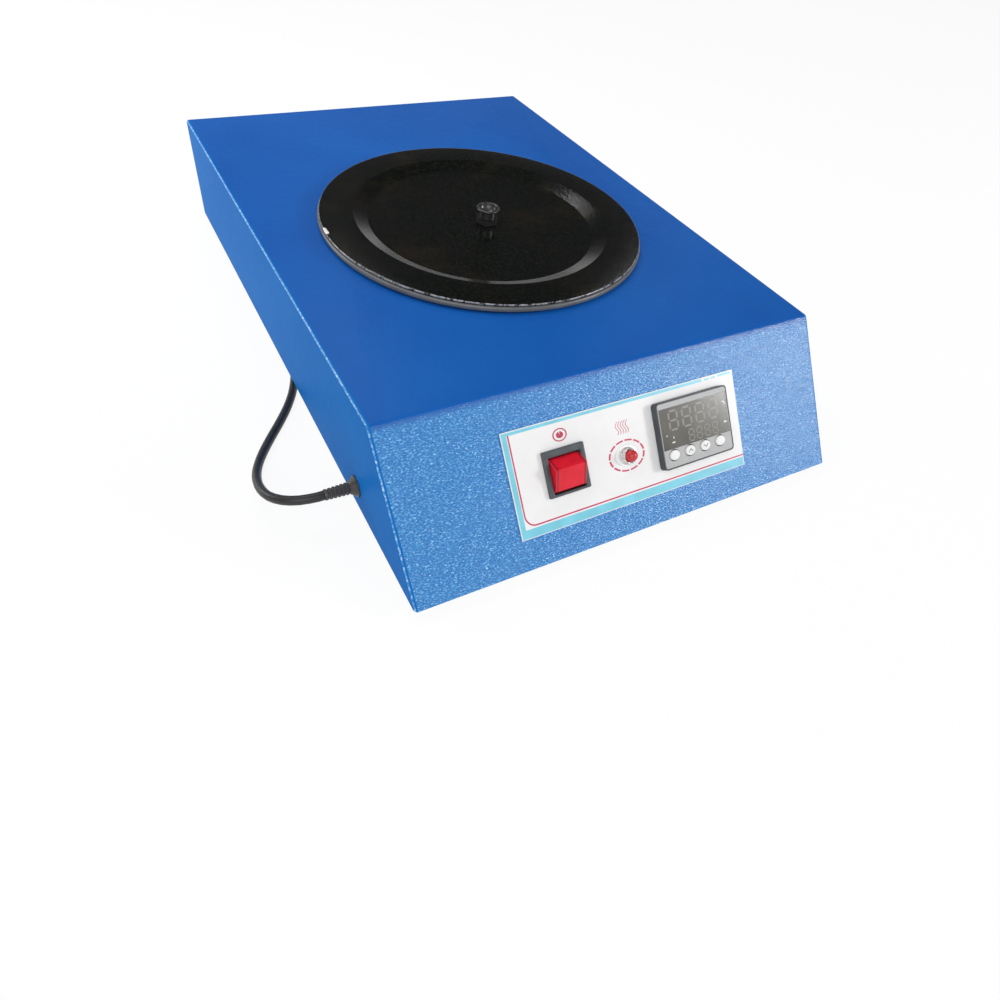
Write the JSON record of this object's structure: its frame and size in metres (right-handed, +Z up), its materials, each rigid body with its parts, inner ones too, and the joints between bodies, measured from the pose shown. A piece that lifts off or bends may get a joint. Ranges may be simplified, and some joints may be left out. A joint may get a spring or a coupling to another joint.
{
  "type": "tissue flotation bath",
  "caption": "Low sheet-metal desk housing with a sloped control panel, a heated round water basin under a dished lid, a temperature controller, a rocker switch and a mains lead.",
  "frame": {"origin": "on the standing surface, under the middle of the housing", "axes": "+Z up, -Y to the front with the sloped control panel, +X to the right as seen from the front"},
  "size_m": [0.3783, 0.5717, 0.0987],
  "materials": {
    "blue_powder_coat": "hammertone powder coat, satin",
    "black_crinkle_paint": "fine crinkle enamel, satin",
    "zinc_sheet": "zinc plated, satin",
    "bright_steel": "bright plated",
    "chrome": "polished",
    "dark_aluminium": "dark non-stick coated, satin",
    "black_rubber": "matte",
    "grey_silicone": "matte",
    "mica": "matte, laminated",
    "glass_wool": "fibrous",
    "label_film": "satin film",
    "switch_plastic": "fine moulded grain",
    "red_lens_plastic": "clear red, glossy",
    "controller_plastic": "fine moulded grain",
    "controller_face_film": "satin film",
    "tinted_window": "tinted, glossy",
    "digit_block": "matte",
    "circuit_board": "solder mask, satin",
    "key_silicone": "matte",
    "terminal_plastic": "matte",
    "cream_phenolic": "semi-gloss",
    "brass": "bright",
    "cord_pvc": "smooth, satin",
    "red_wire": "smooth",
    "white_sleeving": "woven sleeving"
  },
  "bodies": {
    "root": {"housing_shell": "blue_powder_coat", "base_plate": "zinc_sheet", "basin_bracket_1": "zinc_sheet", "basin_bracket_2": "zinc_sheet", "basin_bracket_3": "zinc_sheet", "sensor_saddle": "zinc_sheet", "base_screw_1": "bright_steel", "base_screw_2": "bright_steel", "base_screw_3": "bright_steel", "base_screw_4": "bright_steel", "heater_clamp_plate": "bright_steel", "heater_nut": "bright_steel", "sensor_probe": "bright_steel", "sensor_saddle_screw": "bright_steel", "lamp_nut": "bright_steel", "foot_1": "black_rubber", "foot_2": "black_rubber", "foot_3": "black_rubber", "foot_4": "black_rubber", "cable_grommet": "black_rubber", "bath_basin": "dark_aluminium", "thermal_cutout": "dark_aluminium", "rim_gasket": "grey_silicone", "heater_plate": "mica", "insulation_pad": "glass_wool", "fascia_label": "label_film", "switch_body": "switch_plastic", "lamp_lens": "red_lens_plastic", "lamp_bezel": "chrome", "controller_case": "controller_plastic", "controller_clamp": "controller_plastic", "controller_face": "controller_face_film", "display_window": "tinted_window", "display_digits": "digit_block", "controller_board": "circuit_board", "controller_terminals": "terminal_plastic", "terminal_strip": "cream_phenolic", "earth_stud": "brass", "earth_nut": "brass", "plug_pin_live": "brass", "plug_pin_neutral": "brass", "plug_pin_earth": "brass", "inner_cord": "cord_pvc", "mains_cord": "cord_pvc", "cord_coil": "cord_pvc", "cord_tie": "cord_pvc", "plug_body": "cord_pvc", "heater_lead": "white_sleeving", "sensor_lead": "white_sleeving", "switch_lead": "red_wire", "controller_lead": "red_wire"},
    "lid": {"bath_lid": "black_crinkle_paint", "lid_knob": "black_crinkle_paint", "lid_knob_nut": "black_crinkle_paint", "lid_knob_locknut": "black_crinkle_paint"},
    "rocker": {"switch_rocker": "red_lens_plastic"},
    "button_set": {"button_set": "key_silicone"},
    "button_up": {"button_up": "key_silicone"},
    "button_down": {"button_down": "key_silicone"},
    "button_enter": {"button_enter": "key_silicone"}
  },
  "joints": [
    {"name": "lid_lift", "type": "slide", "parent": "root", "child": "lid", "axis": [0, 0, 1], "range_m": [0, 0.12]},
    {"name": "rocker_tilt", "type": "hinge", "parent": "root", "child": "rocker", "pos_m": [-0.051, -0.2069, 0.04525], "axis": [1, 0, 0], "range_deg": [0, 18]},
    {"name": "button_set_press", "type": "slide", "parent": "root", "child": "button_set", "axis": [0, 0.7442, -0.6679], "range_m": [0, 0.0006], "stiffness_N_per_m": 400, "springref_m": -0.0006},
    {"name": "button_up_press", "type": "slide", "parent": "root", "child": "button_up", "axis": [0, 0.7442, -0.6679], "range_m": [0, 0.0006], "stiffness_N_per_m": 400, "springref_m": -0.0006},
    {"name": "button_down_press", "type": "slide", "parent": "root", "child": "button_down", "axis": [0, 0.7442, -0.6679], "range_m": [0, 0.0006], "stiffness_N_per_m": 400, "springref_m": -0.0006},
    {"name": "button_enter_press", "type": "slide", "parent": "root", "child": "button_enter", "axis": [0, 0.7442, -0.6679], "range_m": [0, 0.0006], "stiffness_N_per_m": 400, "springref_m": -0.0006}
  ]
}
